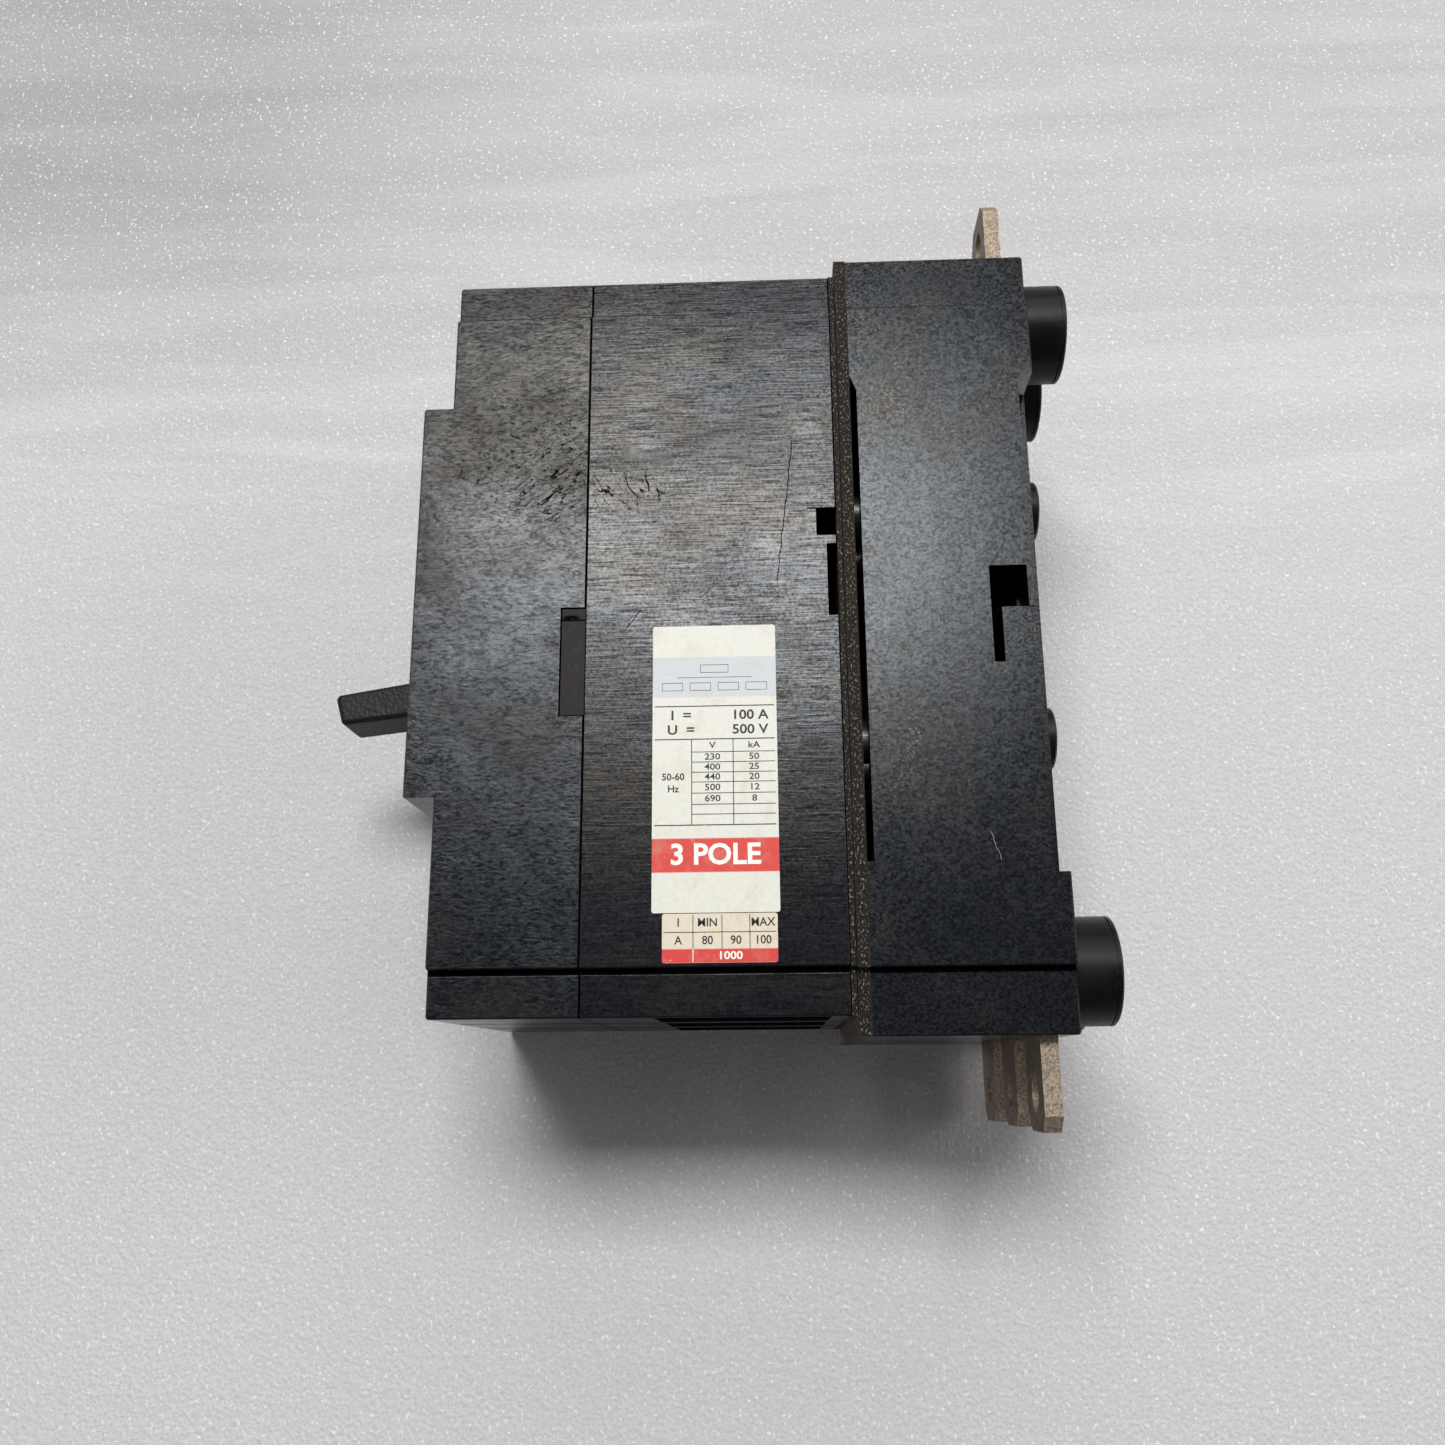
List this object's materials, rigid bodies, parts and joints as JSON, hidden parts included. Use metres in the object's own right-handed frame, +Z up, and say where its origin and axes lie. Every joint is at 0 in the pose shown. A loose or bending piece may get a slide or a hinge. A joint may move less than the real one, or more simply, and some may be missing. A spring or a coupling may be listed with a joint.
{
  "type": "molded case breaker",
  "caption": "Plug-in moulded case circuit breaker with toggle handle, trip button and setting dial, mounted on its plug-in base with rear flat terminals.",
  "frame": {"origin": "centre of the base's rear mounting plane, which touches the panel", "axes": "+Z up along the breaker's height as mounted, +Y out of the rear into the panel, +X to the right across the poles"},
  "size_m": [0.0902, 0.1784, 0.2162],
  "materials": {
    "thermoset_case": "satin black thermoset moulding with fine scratches",
    "thermoset_cover": "leathery black thermoset moulding",
    "thermoset_base": "speckled black thermoset moulding",
    "cap_plastic": "smooth satin black",
    "handle_plastic": "smooth worn black",
    "phenolic_laminate": "brown laminated sheet with cut edges",
    "plug_plastic": "brown-black moulding",
    "tinned_copper": "tinned copper with coarse sheared edges",
    "copper": "bare copper",
    "contact_silver": "silver contact alloy",
    "brass_insert": "turned brass",
    "zinc_steel": "zinc plated steel",
    "spring_steel": "drawn spring steel",
    "mechanism_steel": "stamped plated steel",
    "fibre": "vulcanised fibre",
    "label_paper": "printed foil label, off-white with red bands",
    "trip_label_paper": "printed label, warm beige with red band",
    "button_plastic": "red moulding",
    "dial_plastic": "grey-white moulding"
  },
  "bodies": {
    "housing": {"plug_in_base": "thermoset_base", "contact_caps": "cap_plastic", "contact_screws": "zinc_steel", "jaw_contacts": "copper", "jaw_clamp_springs": "spring_steel", "line_terminals": "tinned_copper", "load_terminals": "tinned_copper", "thick_insulating_plate": "phenolic_laminate", "thin_insulating_plate": "phenolic_laminate", "assembly_bolts": "zinc_steel", "spacer_sleeves": "zinc_steel", "boss_caps": "cap_plastic", "case_inserts": "brass_insert", "case": "thermoset_case", "front_cover": "thermoset_cover", "side_plugs": "plug_plastic", "cover_screws": "zinc_steel", "rating_label": "label_paper", "trip_label": "trip_label_paper", "fixed_contact_tips": "contact_silver", "line_conductors": "copper", "load_conductors": "copper", "plug_pins": "copper", "pin_screws": "zinc_steel", "flexible_braids": "copper", "arc_splitter_plates": "mechanism_steel", "arc_chute_walls": "fibre", "mechanism_side_plates": "mechanism_steel", "frame_spacers": "zinc_steel", "pivot_rods": "zinc_steel", "handle_pivot_studs": "zinc_steel", "bimetal_strips": "brass_insert", "magnet_yokes": "mechanism_steel", "trip_bar_brackets": "mechanism_steel", "trip_bar_spring": "spring_steel", "trip_button_spring": "spring_steel"},
    "operating_handle": {"handle": "handle_plastic", "handle_yoke": "mechanism_steel", "toggle_spring": "spring_steel"},
    "contact_carrier": {"crossbar": "cap_plastic", "contact_arms": "copper", "moving_contact_tips": "contact_silver", "arm_link_pin": "zinc_steel"},
    "lower_link_pair": {"lower_links": "mechanism_steel", "toggle_pin": "zinc_steel"},
    "cradle_lever": {"cradle": "mechanism_steel", "cradle_link_pins": "zinc_steel"},
    "upper_link_pair": {"upper_links": "mechanism_steel"},
    "latch": {"latch_lever": "mechanism_steel"},
    "trip_shaft": {"trip_bar": "cap_plastic", "armature_flaps": "mechanism_steel"},
    "push_to_trip": {"trip_button": "button_plastic"},
    "setting_dial": {"adjusting_dial": "dial_plastic"}
  },
  "joints": [
    {"name": "handle_hinge", "type": "hinge", "parent": "housing", "child": "operating_handle", "pos_m": [0, -0.092, 0.002], "axis": [-1, 0, 0], "range_deg": [-14, 26], "deforming": ["toggle_spring"]},
    {"name": "contact_hinge", "type": "hinge", "parent": "housing", "child": "contact_carrier", "pos_m": [0, -0.072, 0.004], "axis": [-1, 0, 0], "range_deg": [-13, 24.1], "deforming": ["flexible_braids"]},
    {"name": "lower_link_hinge", "type": "hinge", "parent": "contact_carrier", "child": "lower_link_pair", "pos_m": [0, -0.08084, 0.01648], "axis": [-1, 0, 0], "range_deg": [-10, 5.5]},
    {"name": "cradle_hinge", "type": "hinge", "parent": "housing", "child": "cradle_lever", "pos_m": [0, -0.108, 0.032], "axis": [1, 0, 0], "range_deg": [0, 8]},
    {"name": "upper_link_hinge", "type": "hinge", "parent": "cradle_lever", "child": "upper_link_pair", "pos_m": [0, -0.112, 0.014], "axis": [-1, 0, 0], "range_deg": [-23.5, 13]},
    {"name": "latch_hinge", "type": "hinge", "parent": "housing", "child": "latch", "pos_m": [0, -0.084, -0.022], "axis": [-1, 0, 0], "range_deg": [0, 7]},
    {"name": "button_slide", "type": "slide", "parent": "housing", "child": "push_to_trip", "axis": [0, 1, 0], "range_m": [0, 0.0022], "stiffness_N_per_m": 400, "springref_m": -0.002, "deforming": ["trip_button_spring"]},
    {"name": "trip_bar_hinge", "type": "hinge", "parent": "housing", "child": "trip_shaft", "pos_m": [0, -0.116, -0.054], "axis": [1, 0, 0], "range_deg": [0, 7.05], "deforming": ["trip_bar_spring"]},
    {"name": "dial_turn", "type": "hinge", "parent": "housing", "child": "setting_dial", "pos_m": [-0.032, -0.1335, -0.06], "axis": [0, -1, 0], "range_deg": [-50, 50]}
  ],
  "couplings": [
    {"joint": "contact_hinge", "follows": "handle_hinge", "ratio": 0.9231},
    {"joint": "lower_link_hinge", "follows": "handle_hinge", "ratio": -0.3729},
    {"joint": "upper_link_hinge", "follows": "handle_hinge", "ratio": -0.8778},
    {"joint": "trip_bar_hinge", "follows": "button_slide", "rad_per_m": 55.533}
  ]
}
